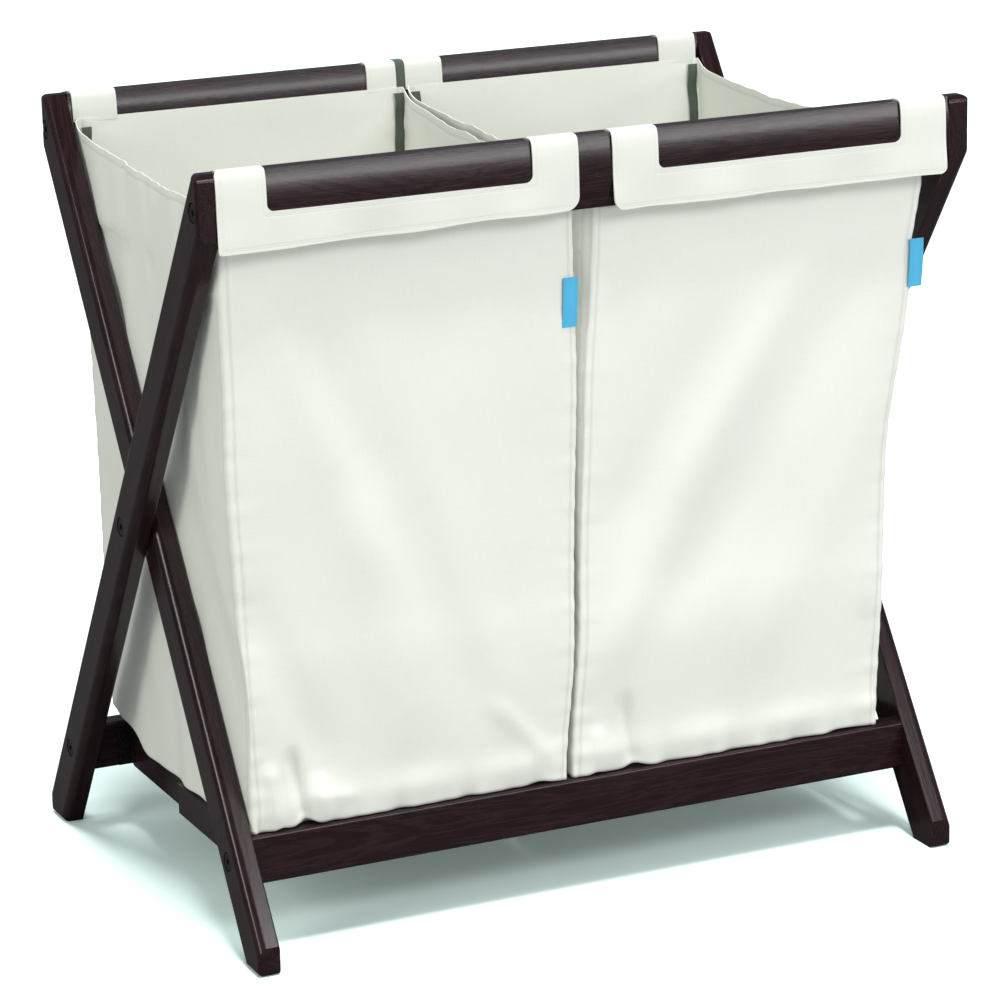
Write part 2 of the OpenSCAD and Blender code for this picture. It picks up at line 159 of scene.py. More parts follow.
softbox("front", (1.0, -3.1, 2.4), (0, 0, 0.50), 2.2, 0.9, 46)
softbox("front low", (1.4, -3.3, 0.99), (0, 0, 0.70), 2.8, 0.26, 25)
softbox("left", (-3.1, -0.8, 1.8), (0, 0, 0.4), 0.8, 1.4, 30, (0.98, 1.0, 0.92))
skylight = bpy.data.lights.new("skylight", "SUN")
skylight.energy, skylight.angle = 2.72, math.radians(15)
hung = bpy.data.objects.new("skylight", skylight)
hung.visible_glossy = False
hung.matrix_world = Vector((0.03, 0.195, -1)).to_track_quat("-Z", "Y").to_matrix().to_4x4()
bpy.context.scene.collection.objects.link(hung)

# ---- Legs, rails and braces --------------------------------------------------
# Beech milled to rounded sections, stained nearly black-brown and sealed with a
# satin lacquer; the grain runs along each piece. Bolted through the legs into the
# rails' ends, so their shapes stay as they were cut.
def group_with(name, inputs, outputs):
    """An empty shader node group with the named sockets: (name, type, default) each."""
    tree = bpy.data.node_groups.new(name, "ShaderNodeTree")
    for label, kind, value in inputs:
        socket = tree.interface.new_socket(label, in_out="INPUT", socket_type=kind)
        if value is not None:
            socket.default_value = value
    for label, kind in outputs:
        tree.interface.new_socket(label, in_out="OUTPUT", socket_type=kind)
    return tree, tree.nodes.new("NodeGroupInput"), tree.nodes.new("NodeGroupOutput")


def scaled(tree, source, factors):
    """Joins a node that multiplies a vector by fixed factors."""
    node = tree.nodes.new("ShaderNodeVectorMath")
    node.operation = "MULTIPLY"
    tree.links.new(source, node.inputs[0])
    node.inputs[1].default_value = factors
    return node.outputs[0]


def noise(tree, vector, scale, detail=3.0, roughness=0.55, distortion=0.0):
    """Joins a noise texture on a vector and returns its factor."""
    node = tree.nodes.new("ShaderNodeTexNoise")
    tree.links.new(vector, node.inputs["Vector"])
    sockets(node, Scale=scale, Detail=detail, Roughness=roughness, Distortion=distortion)
    return node.outputs["Fac"]


def reckon(tree, operation, a, b=0.0, clamp=False):
    """Joins a math node on sockets or plain numbers and returns its value."""
    node = tree.nodes.new("ShaderNodeMath")
    node.operation, node.use_clamp = operation, clamp
    for place, value in enumerate((a, b)):
        if isinstance(value, (int, float)):
            node.inputs[place].default_value = value
        else:
            tree.links.new(value, node.inputs[place])
    return node.outputs[0]


def ramp(tree, factor, stops):
    """Joins a colour ramp with the given (position, colour) stops."""
    node = tree.nodes.new("ShaderNodeValToRGB")
    while len(node.color_ramp.elements) < len(stops):
        node.color_ramp.elements.new(0.5)
    for element, (position, colour) in zip(node.color_ramp.elements, stops):
        element.position, element.color = position, (*colour, 1)
    tree.links.new(factor, node.inputs["Fac"])
    return node.outputs["Color"]


grain_group, grain_in, grain_out = group_with(
    "stained grain", [("Vector", "NodeSocketVector", None)],
    [("Color", "NodeSocketColor"), ("Roughness", "NodeSocketFloat"), ("Height", "NodeSocketFloat")])
along = grain_in.outputs["Vector"]
figure = noise(grain_group, scaled(grain_group, along, (3.2, 30, 30)), 1.0, 4, 0.6, 1.6)
fibre = noise(grain_group, scaled(grain_group, along, (16, 900, 900)), 1.0, 3, 0.6, 0.2)
pores = noise(grain_group, scaled(grain_group, along, (55, 1500, 1500)), 1.0, 2, 0.5)
rings = reckon(grain_group, "SINE", reckon(grain_group, "MULTIPLY", figure, 46.0))
mixed = reckon(grain_group, "ADD", reckon(grain_group, "MULTIPLY", fibre, 0.62),
               reckon(grain_group, "MULTIPLY", reckon(grain_group, "ADD", rings, 1.0), 0.12))
grain_group.links.new(ramp(grain_group, mixed, [
    (0.22, (0.0095, 0.0032, 0.0044)), (0.45, (0.0165, 0.0064, 0.0086)),
    (0.62, (0.0245, 0.0100, 0.0126)), (0.80, (0.0420, 0.0200, 0.0235))]), grain_out.inputs["Color"])
open_pores = reckon(grain_group, "GREATER_THAN", pores, 0.66)
sheen = reckon(grain_group, "ADD", reckon(grain_group, "MULTIPLY", fibre, 0.12), 0.17)
grain_group.links.new(sheen, grain_out.inputs["Roughness"])
pitted = reckon(grain_group, "SUBTRACT", mixed, reckon(grain_group, "MULTIPLY", open_pores, 0.5))
grain_group.links.new(pitted, grain_out.inputs["Height"])


def espresso(name, grain_way, shift):
    """Stained wood whose grain runs along a direction in the YZ plane or along X.

    The texture's axes are the grain's direction and two at right angles to it, and
    the shift moves the pattern so that no two boards look alike."""
    material, tree, shader = new_material(name)
    place = tree.nodes.new("ShaderNodeTexCoord").outputs["Object"]
    grain_way = Vector(grain_way).normalized()
    other = Vector((1, 0, 0)) if abs(grain_way.x) < 0.5 else Vector((0, 1, 0))
    turned = tree.nodes.new("ShaderNodeCombineXYZ")
    for axis, way in enumerate((grain_way, other, grain_way.cross(other))):
        dot = tree.nodes.new("ShaderNodeVectorMath")
        dot.operation = "DOT_PRODUCT"
        tree.links.new(place, dot.inputs[0])
        dot.inputs[1].default_value = way
        moved = reckon(tree, "ADD", dot.outputs["Value"], shift * (1 + axis))
        tree.links.new(moved, turned.inputs[axis])
    grain = tree.nodes.new("ShaderNodeGroup")
    grain.node_tree = grain_group
    tree.links.new(turned.outputs[0], grain.inputs["Vector"])
    tree.links.new(grain.outputs["Color"], shader.inputs["Base Color"])
    tree.links.new(grain.outputs["Roughness"], shader.inputs["Roughness"])
    bump = sockets(tree.nodes.new("ShaderNodeBump"), Strength=0.22, Distance=0.0004)
    tree.links.new(grain.outputs["Height"], bump.inputs["Height"])
    tree.links.new(bump.outputs["Normal"], shader.inputs["Normal"])
    sockets(shader, Coat_Weight=0.30, Coat_Roughness=0.13, Specular_IOR_Level=0.26)
    return material


def dress(node_name, material):
    """Gives a CAD node one material in place of its plain ones."""
    mesh = nodes[node_name].data
    mesh.materials.clear()
    mesh.materials.append(material)


lean = math.radians(34.3)
for number, end in enumerate(("left", "right")):
    for part, grain_way, shift in (
            ("outer_leg", (0, -math.sin(lean), math.cos(lean)), 0.37),
            ("inner_leg", (0, math.sin(lean), math.cos(lean)), 2.61),
            ("brace_front", (0, 1, 0), 4.11), ("brace_back", (0, 1, 0), 6.29)):
        name = f"{part}_{end}"
        dress(name, espresso(name.replace("_", " "), grain_way, shift + number))
for number, rail in enumerate(
        ("top_rail_front", "top_rail_back", "bottom_rail_front", "bottom_rail_back")):
    dress(rail, espresso(rail.replace("_", " "), (1, 0, 0), 8.17 + 1.3 * number))

# ---- Bolts, brackets and pins ------------------------------------------------
# Steel fastenings with a dark oxide finish, rubbed a little brighter where a key
# has turned in them.
oxide, tree, shader = new_material("dark oxide steel")
place = tree.nodes.new("ShaderNodeTexCoord").outputs["Object"]
rubbed = noise(tree, place, 420.0, 3)
tree.links.new(ramp(tree, rubbed, [(0.35, (0.022, 0.020, 0.020)), (0.70, (0.075, 0.070, 0.068))]),
               shader.inputs["Base Color"])
tree.links.new(reckon(tree, "ADD", reckon(tree, "MULTIPLY", rubbed, 0.25), 0.22),
               shader.inputs["Roughness"])
bump = sockets(tree.nodes.new("ShaderNodeBump"), Strength=0.1, Distance=0.0002)
tree.links.new(noise(tree, place, 1500.0, 2), bump.inputs["Height"])
tree.links.new(bump.outputs["Normal"], shader.inputs["Normal"])
sockets(shader, Metallic=0.85)
for hardware in ("rail_bolts_outer", "rail_bolts_inner", "barrel_nuts_outer",
                 "barrel_nuts_inner", "pivot_bolts", "pivot_washers", "pivot_nuts",
                 "centre_pin_left", "centre_pin_right", "brackets_front", "brackets_back",
                 "bracket_pins_front", "bracket_pins_back", "bracket_screws_front",
                 "bracket_screws_back"):
    dress(hardware, oxide)

# ---- Bags ----------------------------------------------------------------------
# Each bag is one length of natural cotton canvas sewn up at the corners to a boxed
# bottom that rests on the bottom rails and on the braces. It hangs from the top rails
# by its cuffs, sags between the rails and creases where it meets the wood.
weave_group, weave_in, weave_out = group_with(
    "plain weave", [("Vector", "NodeSocketVector", None), ("Pitch", "NodeSocketFloat", 0.0007)],
    [("Color", "NodeSocketColor"), ("Height", "NodeSocketFloat")])
on_cloth = weave_in.outputs["Vector"]
split = weave_group.nodes.new("ShaderNodeSeparateXYZ")
weave_group.links.new(on_cloth, split.inputs[0])
turns = reckon(weave_group, "DIVIDE", math.pi, weave_in.outputs["Pitch"])
weft, warp = (
    reckon(weave_group, "SINE", reckon(weave_group, "MULTIPLY", split.outputs[way], turns))
    for way in ("X", "Y"))
over = reckon(weave_group, "MULTIPLY", weft, warp)
slubs = reckon(weave_group, "ADD", *(
    noise(weave_group, scaled(weave_group, on_cloth, stretch), 1.0, 2, 0.5)
    for stretch in ((900, 45, 1), (45, 900, 1))))
clouds = noise(weave_group, scaled(weave_group, on_cloth, (7, 7, 1)), 1.0, 4, 0.6)
cloudy = reckon(weave_group, "MULTIPLY", reckon(weave_group, "ADD", clouds, 1.55), 0.16)
tone = reckon(weave_group, "ADD", reckon(weave_group, "MULTIPLY", slubs, 0.16),
              reckon(weave_group, "ADD", reckon(weave_group, "MULTIPLY", over, 0.016), cloudy))
weave_group.links.new(ramp(weave_group, tone, [
    (0.34, (0.735, 0.745, 0.675)), (0.50, (0.790, 0.802, 0.736)), (0.66, (0.812, 0.825, 0.764))]),
    weave_out.inputs["Color"])
relief = reckon(weave_group, "ADD", reckon(weave_group, "MULTIPLY", over, 0.45),
                reckon(weave_group, "MULTIPLY", slubs, 0.35))
weave_group.links.new(relief, weave_out.inputs["Height"])

seam_group, seam_in, seam_out = group_with(
    "row of stitches", [("Edge", "NodeSocketFloat", 0.0), ("Along", "NodeSocketFloat", 0.0),
                        ("Inset", "NodeSocketFloat", 0.007), ("Stitch", "NodeSocketFloat", 0.0030)],
    [("Mask", "NodeSocketFloat"), ("Height", "NodeSocketFloat")])
from_edge, inset = seam_in.outputs["Edge"], seam_in.outputs["Inset"]
away = reckon(seam_group, "ABSOLUTE", reckon(seam_group, "SUBTRACT", from_edge, inset))
# 1 on the row's middle, falling to 0 at the half width of a thread and of the trough it sits in
near, trough = (
    reckon(seam_group, "SUBTRACT", 1.0, reckon(seam_group, "DIVIDE", away, half), clamp=True)
    for half in (0.0009, 0.0026))
turns = reckon(seam_group, "DIVIDE", 2 * math.pi, seam_in.outputs["Stitch"])
beat = reckon(seam_group, "SINE", reckon(seam_group, "MULTIPLY", seam_in.outputs["Along"], turns))
thread = reckon(seam_group, "MULTIPLY", near, reckon(seam_group, "GREATER_THAN", beat, -0.35))
turned_in = reckon(seam_group, "LESS_THAN", from_edge, inset)
# The trough, scaled, masks painted shade: the cloth's colour is darkened in the recess beside each
# row of stitches.
seam_group.links.new(reckon(seam_group, "MULTIPLY", trough, 0.36), seam_out.inputs["Mask"])
hem_step = reckon(seam_group, "SUBTRACT", reckon(seam_group, "MULTIPLY", turned_in, 0.6),
                  reckon(seam_group, "MULTIPLY", trough, 0.8))
raised = reckon(seam_group, "ADD", reckon(seam_group, "MULTIPLY", thread, 0.9), hem_step)
seam_group.links.new(raised, seam_out.inputs["Height"])


def cloth_material(name, tint, pitch, inset, seam_shade=0.26):
    """Woven cloth: the weave lies on the piece's own UV map, which is in metres, and a row of
    stitches runs a set distance in from every edge the piece calls a hem. In the trough each row
    sits in, the colour is darkened by seam_shade: painted shade."""
    material, tree, shader = new_material(name)
    uv = tree.nodes.new("ShaderNodeUVMap")
    uv.uv_map = "cloth"
    weave = tree.nodes.new("ShaderNodeGroup")
    weave.node_tree = weave_group
    tree.links.new(uv.outputs[0], weave.inputs["Vector"])
    sockets(weave, Pitch=pitch)
    edge = tree.nodes.new("ShaderNodeAttribute")
    edge.attribute_name = "hem"
    parts = tree.nodes.new("ShaderNodeSeparateXYZ")
    tree.links.new(uv.outputs[0], parts.inputs[0])
    seam = tree.nodes.new("ShaderNodeGroup")
    seam.node_tree = seam_group
    tree.links.new(edge.outputs["Fac"], seam.inputs["Edge"])
    tree.links.new(reckon(tree, "ADD", parts.outputs["X"], parts.outputs["Y"]),
                   seam.inputs["Along"])
    sockets(seam, Inset=inset)
    tinted = blended(tree, "MULTIPLY", 1.0, weave.outputs["Color"], tint)
    # Painted shade: the colour is multiplied toward (0.62, 0.62, 0.58) in the seam's trough.
    shade = reckon(tree, "MULTIPLY", seam.outputs["Mask"], seam_shade)
    tree.links.new(blended(tree, "MULTIPLY", shade, tinted, (0.62, 0.62, 0.58)),
                   shader.inputs["Base Color"])
    threads = sockets(tree.nodes.new("ShaderNodeBump"), Strength=0.25, Distance=0.0002)
    tree.links.new(weave.outputs["Height"], threads.inputs["Height"])
    sewn = sockets(tree.nodes.new("ShaderNodeBump"), Strength=0.35, Distance=0.0007)
    tree.links.new(seam.outputs["Height"], sewn.inputs["Height"])
    tree.links.new(threads.outputs["Normal"], sewn.inputs["Normal"])
    tree.links.new(sewn.outputs["Normal"], shader.inputs["Normal"])
    sockets(shader, Roughness=0.92, Sheen_Weight=0.18, Sheen_Roughness=0.5, Specular_IOR_Level=0.2)
    return material


canvas = cloth_material("natural canvas", (1.0, 1.0, 1.0), 0.0007, 0.008, 0.85)


def ease(low, high, value):
    """0 below low, 1 above high, and a smooth S between them."""
    t = np.clip((value - low) / (high - low), 0, 1)
    return t * t * (3 - 2 * t)


def through(z, heights, values):
    """A smooth curve over height: straight runs between the given values, eased at each."""
    heights, values = np.array(heights), np.array(values)
    result = np.full_like(z, values[0])
    for low, high, step in zip(heights[:-1], heights[1:], np.diff(values)):
        result = result + step * ease(low, high, z)
    return result


def put_in_mesh(name, points, faces, uv, hem, material, thickness):
    """A mesh object at the origin from points, faces, a UV pair a point and a hem distance
    a point, given its thickness inward from the side the faces look out of. Cut edges are
    marked sharp."""
    mesh = bpy.data.meshes.new(name)
    mesh.from_pydata(points.reshape(-1, 3).tolist(), [],
                     faces.tolist() if hasattr(faces, "tolist") else faces)
    corners = np.zeros(len(mesh.loops), np.int32)
    mesh.loops.foreach_get("vertex_index", corners)
    layer = mesh.uv_layers.new(name="cloth")
    layer.data.foreach_set("uv", uv.reshape(-1, 2)[corners].astype(np.float32).ravel())
    distance = mesh.attributes.new("hem", "FLOAT", "POINT")
    distance.data.foreach_set("value", hem.ravel().astype(np.float32))
    mesh.polygons.foreach_set("use_smooth", np.full(len(mesh.polygons), True))
    edges = np.zeros(len(mesh.loops), np.int32)
    mesh.loops.foreach_get("edge_index", edges)
    cut = np.bincount(edges, minlength=len(mesh.edges)) == 1
    mesh.attributes.new("sharp_edge", "BOOLEAN", "EDGE").data.foreach_set("value", cut)
    mesh.materials.append(material)
    mesh.update()
    piece = bpy.data.objects.new(name, mesh)
    bpy.context.scene.collection.objects.link(piece)
    wall = piece.modifiers.new("thickness", "SOLIDIFY")
    wall.thickness, wall.offset = thickness, -1.0
    return piece


def grid_faces(rows, columns, closed=False):
    """Quads over a grid of points numbered row by row; closed joins the last column to the
    first."""
    r, c = np.meshgrid(np.arange(rows - 1), np.arange(columns if closed else columns - 1),
                       indexing="ij")
    here, below, after = r * columns, (r + 1) * columns, (c + 1) % columns
    return np.stack([here + c, below + c, below + after, here + after], -1).reshape(-1, 4)


joints = {joint["name"]: joint for joint in frame["joints"]}
_, front_swing_y, swing_z = joints["left_front_panel_swing"]["pos_m"]
brace_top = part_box("brace_front_left")[1][2]
rail_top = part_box("bottom_rail_front")[1][2]
leg_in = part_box("inner_leg_right")[0][0]

# A bag's walls are a grid: rows down from the rim, close together near rim and foot, and
# columns round the four sides (0 front, 1 right, 2 back, 3 left) with a few more for each
# bend, half a number on. t_of is each column's share of the way along its side or bend.
side_counts, bend_count = (92, 62, 70, 62), 5
down = np.concatenate([np.linspace(0, 0.06, 10, endpoint=False),
                       np.linspace(0.06, 0.88, 82, endpoint=False), np.linspace(0.88, 1, 26)])
side_of = np.concatenate([[side] * count + [side + 0.5] * bend_count
                          for side, count in enumerate(side_counts)])
t_of = np.concatenate([[*np.linspace(0, 1, count), *np.linspace(0, 1, bend_count + 2)[1:-1]]
                       for count in side_counts])
whole = np.floor(side_of).astype(int)
straight = side_of == whole
on_front, on_back = straight & (whole == 0), straight & (whole == 2)
on_side = straight & (whole % 2 == 1)
front_long, side_long = 0.33, 0.43
foot_z, side_rim_z, band_z = 0.118, 0.7285, 0.644


def wall_heights(lifts):
    """The rim's height round the bag, and the height of every point of the walls.

    The sides' rims sag between the rails, and their lower edges come down to the braces and
    rise to the back rail. The front's lower edge rides up in a few small bells, each (share
    along the front, width, height)."""
    sag = np.where(on_side, np.sin(math.pi * t_of), 0)
    rim = np.where(on_side, side_rim_z - 0.0085 * sag + 0.0005 * np.sin(t_of * 97) * sag,
                   swing_z + 0.0022)
    from_corner = np.minimum(t_of, 1 - t_of)
    rim = np.where(on_side, rim + (swing_z - side_rim_z) * np.exp(-from_corner / 0.02), rim)
    depth_y = -0.203 + 0.406 * np.where(whole == 1, t_of, 1 - t_of)
    hang = through(depth_y, [-0.203, -0.052, 0.028, 0.095, 0.170, 0.207],
                   [foot_z, 0.1076, 0.1050, 0.1050, 0.1240, 0.1320])
    low = np.where(on_side, hang, rail_top + 0.0012)
    for share, width, tall in lifts:
        low = low + np.where(on_front, tall * np.exp(-((t_of - share) / width) ** 2), 0)
    low = np.where(on_back, 0.1300 - 0.006 * np.sin(math.pi * t_of), low)
    for bend, value in enumerate((foot_z, 0.1320, 0.1320, foot_z)):
        low = np.where(side_of == bend + 0.5, value, low)
    return rim, rim[None] + down[:, None] * (low - rim)[None]


def wall_plan(z, corner_curves, bends):
    """Where the walls stand before they billow, as (x, y), and the way each point faces.

    Each corner's x follows its own curve over height, while the front and back lean in
    toward the bottom. Straight sides run between the corners, and each bend is a curve
    that leaves one side and meets the next without a break."""
    y_front = through(z, [foot_z, 0.30, 0.60, 0.737], [-0.2010, -0.2120, -0.2262, -0.2279])
    y_back = through(z, [foot_z, 0.16, 0.35, 0.60, 0.737], [0.2000, 0.2060, 0.2100, 0.2215, 0.2279])
    corner = [np.stack([through(z, *curve), y], -1)
              for curve, y in zip(corner_curves, (y_front, y_front, y_back, y_back))] * 2
    ways = [(b - a) / np.linalg.norm(b - a, axis=-1, keepdims=True)
            for a, b in zip(corner[:4], corner[1:5])] * 2
    points, outward = np.zeros(z.shape + (2,)), np.zeros(z.shape + (2,))
    for side in range(4):
        a, b, way, next_way = corner[side], corner[side + 1], ways[side], ways[side + 1]
        on = side_of == side
        t = t_of[None, on, None]
        begin = a[:, on] + bends[side - 1] * way[:, on]
        stop = b[:, on] - bends[side] * way[:, on]
        points[:, on] = begin + t * (stop - begin)
        outward[:, on] = np.stack([way[:, on, 1], -way[:, on, 0]], -1)
        on = side_of == side + 0.5
        t = t_of[None, on, None]
        begin = b[:, on] - bends[side] * way[:, on]
        stop = b[:, on] + bends[side] * next_way[:, on]
        points[:, on] = (1 - t) ** 2 * begin + 2 * t * (1 - t) * b[:, on] + t ** 2 * stop
        mean = (1 - t) * way[:, on] + t * next_way[:, on]
        outward[:, on] = np.stack([mean[..., 1], -mean[..., 0]], -1)
    return points, outward, y_front


def crease(x, z, start, end, width, height):
    """A soft ridge along the straight line between two points of a panel: its height falls off
    as a bell curve with the distance from the line, and to nothing at the line's two ends."""
    (x0, z0), (x1, z1) = start, end
    length = math.hypot(x1 - x0, z1 - z0)
    t = ((x - x0) * (x1 - x0) + (z - z0) * (z1 - z0)) / length ** 2
    off = ((x - x0) * (z1 - z0) - (z - z0) * (x1 - x0)) / length
    return height * np.exp(-(off / width) ** 2) * ease(-0.05, 0.25, t) * (1 - ease(0.75, 1.05, t))


def stand_out(x, y, z, creases, outer, belly):
    """How far the cloth stands out from its plan along the way it faces: the panels' billow and
    creases, puckers on the bottom rails and the seams, and the side walls' folds and band."""
    t = np.broadcast_to(t_of, z.shape)
    middle = np.where(straight[None], np.sin(math.pi * t), 0)
    rounded = np.sin(math.pi * np.clip((z - foot_z) / 0.62, 0, 1))
    wander = (np.sin(19 * x + 7.3 * z + 1.7 * outer) * np.cos(11 * z - 6 * x + outer)
              + 0.6 * np.sin(31 * z + 13 * x) * np.sin(23 * x - 5 * z + 2))
    push = np.zeros(z.shape)
    for panel, billow, depth in ((on_front, 0.0036, 1.0), (on_back, 0.0030, 0.7)):
        push += np.where(panel, middle ** 0.6 * (billow * rounded + 0.0013 * wander), 0)
        for start, end, width, tall in creases:
            push += np.where(panel, crease(x, z, start, end, width, depth * tall), 0)
    # Puckers where the cloth is crushed against a bottom rail, and the swelling above them
    crush = np.exp(-np.clip(z - foot_z, 0, 1) / 0.016)
    ripple = np.sin(x * 92 + 2 * outer) + 0.7 * np.sin(x * 171 + 1.1) + 0.5 * np.sin(x * 263 + 0.4)
    swell = np.exp(-((z - 0.140) / 0.016) ** 2)
    at_foot = crush * (0.0011 * ripple - 0.0012) + 0.0022 * swell * (1 + 0.4 * np.sin(x * 61))
    push += np.where(on_front | on_back, at_foot, 0)
    # Side walls: upright folds that lean with the pull of the rim, always inward of the legs
    fold_line = np.sin(y * 58 + 5 * z + outer) + 0.6 * np.sin(y * 103 - 9 * z + 0.8)
    hollow = middle * (0.0032 + 0.0018 * fold_line + 0.0020 * np.sin(9 * z + 14 * y))
    band = np.where(x * outer > 0.1, 0.0024, 0.0008) * ease(band_z - 0.004, band_z + 0.002, z)
    push += np.where(on_side, band - hollow, 0)
    stood_off = belly * ease(0.30, 0.69, z) * np.exp(-((y + 0.196) / 0.024) ** 2)
    push += np.where(on_side & (x * outer < 0.1), stood_off, 0)
    # Close to every upright seam the cloth draws up into small puckers
    long = np.where(on_side, side_long, front_long)
    from_seam = np.where(straight[None], np.minimum(t, 1 - t) * long, 0)
    drawn_up = np.sin(z * 178 + outer) + np.sin(z * 307 + 2 * outer)
    return push + 0.00028 * drawn_up * np.exp(-from_seam / 0.012)


def bottom(last, outer):
    """The bottom, as rings drawn in from the walls' last ring to one point. It lies on the
    rails, sags between them and passes over the brace. Also gives how far in each ring is."""
    inward = np.concatenate([np.linspace(0, 0.10, 6)[1:], np.linspace(0.10, 1, 15)[1:]])[:, None]
    heart = last.mean(0)
    plan = heart[:2] + (last[None, :, :2] - heart[:2]) * (1 - inward[..., None])
    x, y = plan[..., 0], plan[..., 1]
    span = np.clip(1 - (y / 0.186) ** 2, 0, 1)
    bed = (rail_top + 0.0014 - 0.0150 * span ** 0.8
           + 0.0012 * np.sin(x * 37) * np.cos(y * 29) * span)
    by_brace = ease(0.318, 0.328, x * outer)
    bed = np.maximum(bed, (brace_top + 0.0016) * by_brace + bed * (1 - by_brace))
    bed = bed + 0.011 * ease(0.150, 0.200, y)
    settle = ease(0, 0.05, inward)
    rings = np.stack([x, y, last[None, :, 2] * (1 - settle) + bed * settle], -1)
    toward_edge = np.stack([np.sign(x - heart[0]), np.sign(y - heart[1])], -1)
    rings[..., :2] -= toward_edge * 0.0009 * (1 - settle)[..., None]
    return rings, plan, inward


def bag(name, corner_curves, bends, creases, lifts, outer, belly=0.0):
    """A boxed bag as one continuous loft of walls and bottom.

    corner_curves are heights and x for the front left, front right, back right and back
    left corners, and bends the sizes of the bends there. outer is -1 where the side toward
    the legs is the left one, and 1 where it is the right one; belly is how far the other
    side stands out behind its front seam."""
    rim, z = wall_heights(lifts)
    points, outward, y_front = wall_plan(z, corner_curves, bends)
    x, y = points[..., 0], points[..., 1]
    push = stand_out(x, y, z, creases, outer, belly)
    x, y = x + push * outward[..., 0], y + push * outward[..., 1]
    # The corner toward the legs flares out in front of the inner leg, and clear of it as the
    # stand folds
    clear_y = 0.709 * (z - 0.3148) - 0.135
    front_y = y_front - 0.001
    flare = ease(0, 1, (clear_y - y) / np.maximum(clear_y - front_y, 0.02)) * (clear_y > front_y)
    reach = leg_in - 0.0012 + 0.0205 * ease(0.215, 0.45, z) * flare
    x = np.where(x * outer > 0, outer * np.minimum(np.abs(x), reach), x)
    wall = np.stack([x, y, z], -1)
    rings, plan, inward = bottom(wall[-1], outer)
    heart = wall[-1].mean(0)
    # Distance round the bag and down it, in metres, for the weave, and to the nearest seam
    step = np.linalg.norm(np.diff(wall[40], axis=0, append=wall[40][:1]), axis=1)
    round_bag = np.concatenate([[0], np.cumsum(step)[:-1]])
    bottom_uv_x = 2.5
    uv = np.concatenate([
        np.stack([np.broadcast_to(round_bag, z.shape), z], -1).reshape(-1, 2),
        (plan[:-1] + [bottom_uv_x, 0]).reshape(-1, 2), [[heart[0] + bottom_uv_x, heart[1]]]])
    long = np.where(on_side, side_long, front_long)
    seam_distance = np.where(straight, np.minimum(t_of, 1 - t_of) * long + 0.0065, 0.003)
    facing = np.where(on_side, np.abs(z - band_z) + 0.008, 1.0)
    rim_distance = np.where(on_side, rim[None] - z + 0.0005, 1.0)
    hem_wall = np.minimum(np.minimum(seam_distance, facing), rim_distance)
    hem_bottom = np.broadcast_to(0.003 + 0.2 * inward, rings.shape[:2])[:-1]
    hem = np.concatenate([hem_wall.ravel(), hem_bottom.ravel(), [0.2]])
    columns, ring_count = len(t_of), len(down) + len(inward) - 1
    last_ring, hub = (ring_count - 1) * columns, ring_count * columns
    faces = grid_faces(ring_count, columns, closed=True).tolist()
    faces += [(last_ring + k, hub, last_ring + (k + 1) % columns) for k in range(columns)]
    points = np.concatenate([wall.reshape(-1, 3), rings[:-1].reshape(-1, 3), [rings[-1].mean(0)]])
    piece = put_in_mesh(name, points, faces, uv, hem, canvas, 0.0011)
    side = name.split("_")[0]
    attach(piece, f"{side}_bag_front")
    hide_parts(*(f"{side}_{part}" for part in
                         ("panel_front", "panel_back", "side_outer", "side_inner", "bottom")))
    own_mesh(piece)


bag("left_bag",
    [([foot_z, 0.30, 0.50, 0.69, 0.737], [-0.3530, -0.3620, -0.3710, -0.3735, -0.3735]),
     ([foot_z, 0.25, 0.50, 0.69], [-0.0205, -0.0140, -0.0130, -0.0165]),
     ([foot_z, 0.737], [0.0040, 0.0090]), ([foot_z, 0.737], [-0.3500, -0.3480])],
    (0.005, 0.004, 0.005, 0.007),
    [((-0.345, 0.69), (-0.210, 0.33), 0.026, 0.0040),
     ((-0.250, 0.45), (-0.185, 0.15), 0.030, 0.0030),
     ((-0.300, 0.67), (-0.206, 0.43), 0.030, -0.0040),
     ((-0.220, 0.48), (-0.110, 0.18), 0.030, -0.0030),
     ((-0.190, 0.52), (-0.070, 0.16), 0.022, 0.0020),
     ((-0.365, 0.38), (-0.265, 0.15), 0.022, -0.0040),
     ((-0.110, 0.22), (-0.030, 0.135), 0.010, 0.0022),
     ((-0.312, 0.200), (-0.296, 0.112), 0.006, -0.0075),
     ((-0.335, 0.190), (-0.322, 0.112), 0.008, 0.0040),
     ((-0.285, 0.170), (-0.272, 0.112), 0.008, 0.0035),
     ((-0.300, 0.150), (-0.240, 0.140), 0.006, 0.0010)],
    [(0.155, 0.030, 0.0065), (0.075, 0.016, 0.0025), (0.93, 0.03, 0.0022)], -1)
bag("right_bag",
    [([foot_z, 0.30, 0.50, 0.69], [-0.0150, -0.0090, -0.0060, 0.0030]),
     ([foot_z, 0.40, 0.60, 0.69], [0.3290, 0.3310, 0.3520, 0.3630]),
     ([foot_z, 0.737], [0.3500, 0.3520]), ([foot_z, 0.737], [0.0110, 0.0140])],
    (0.007, 0.005, 0.004, 0.006),
    [((0.260, 0.67), (0.090, 0.39), 0.026, 0.0042), ((0.130, 0.45), (0.000, 0.20), 0.026, 0.0030),
     ((0.325, 0.65), (0.180, 0.42), 0.032, -0.0044), ((0.210, 0.46), (0.080, 0.26), 0.030, -0.0030),
     ((0.150, 0.60), (0.015, 0.34), 0.030, -0.0036), ((0.345, 0.52), (0.150, 0.17), 0.036, 0.0024),
     ((0.040, 0.200), (0.052, 0.112), 0.008, -0.0060),
     ((0.010, 0.170), (0.020, 0.112), 0.008, 0.0030),
     ((0.310, 0.260), (0.322, 0.120), 0.012, -0.0026)],
    [(0.19, 0.030, 0.0040), (0.06, 0.020, 0.0020), (0.90, 0.05, 0.0025)], 1, 0.014)

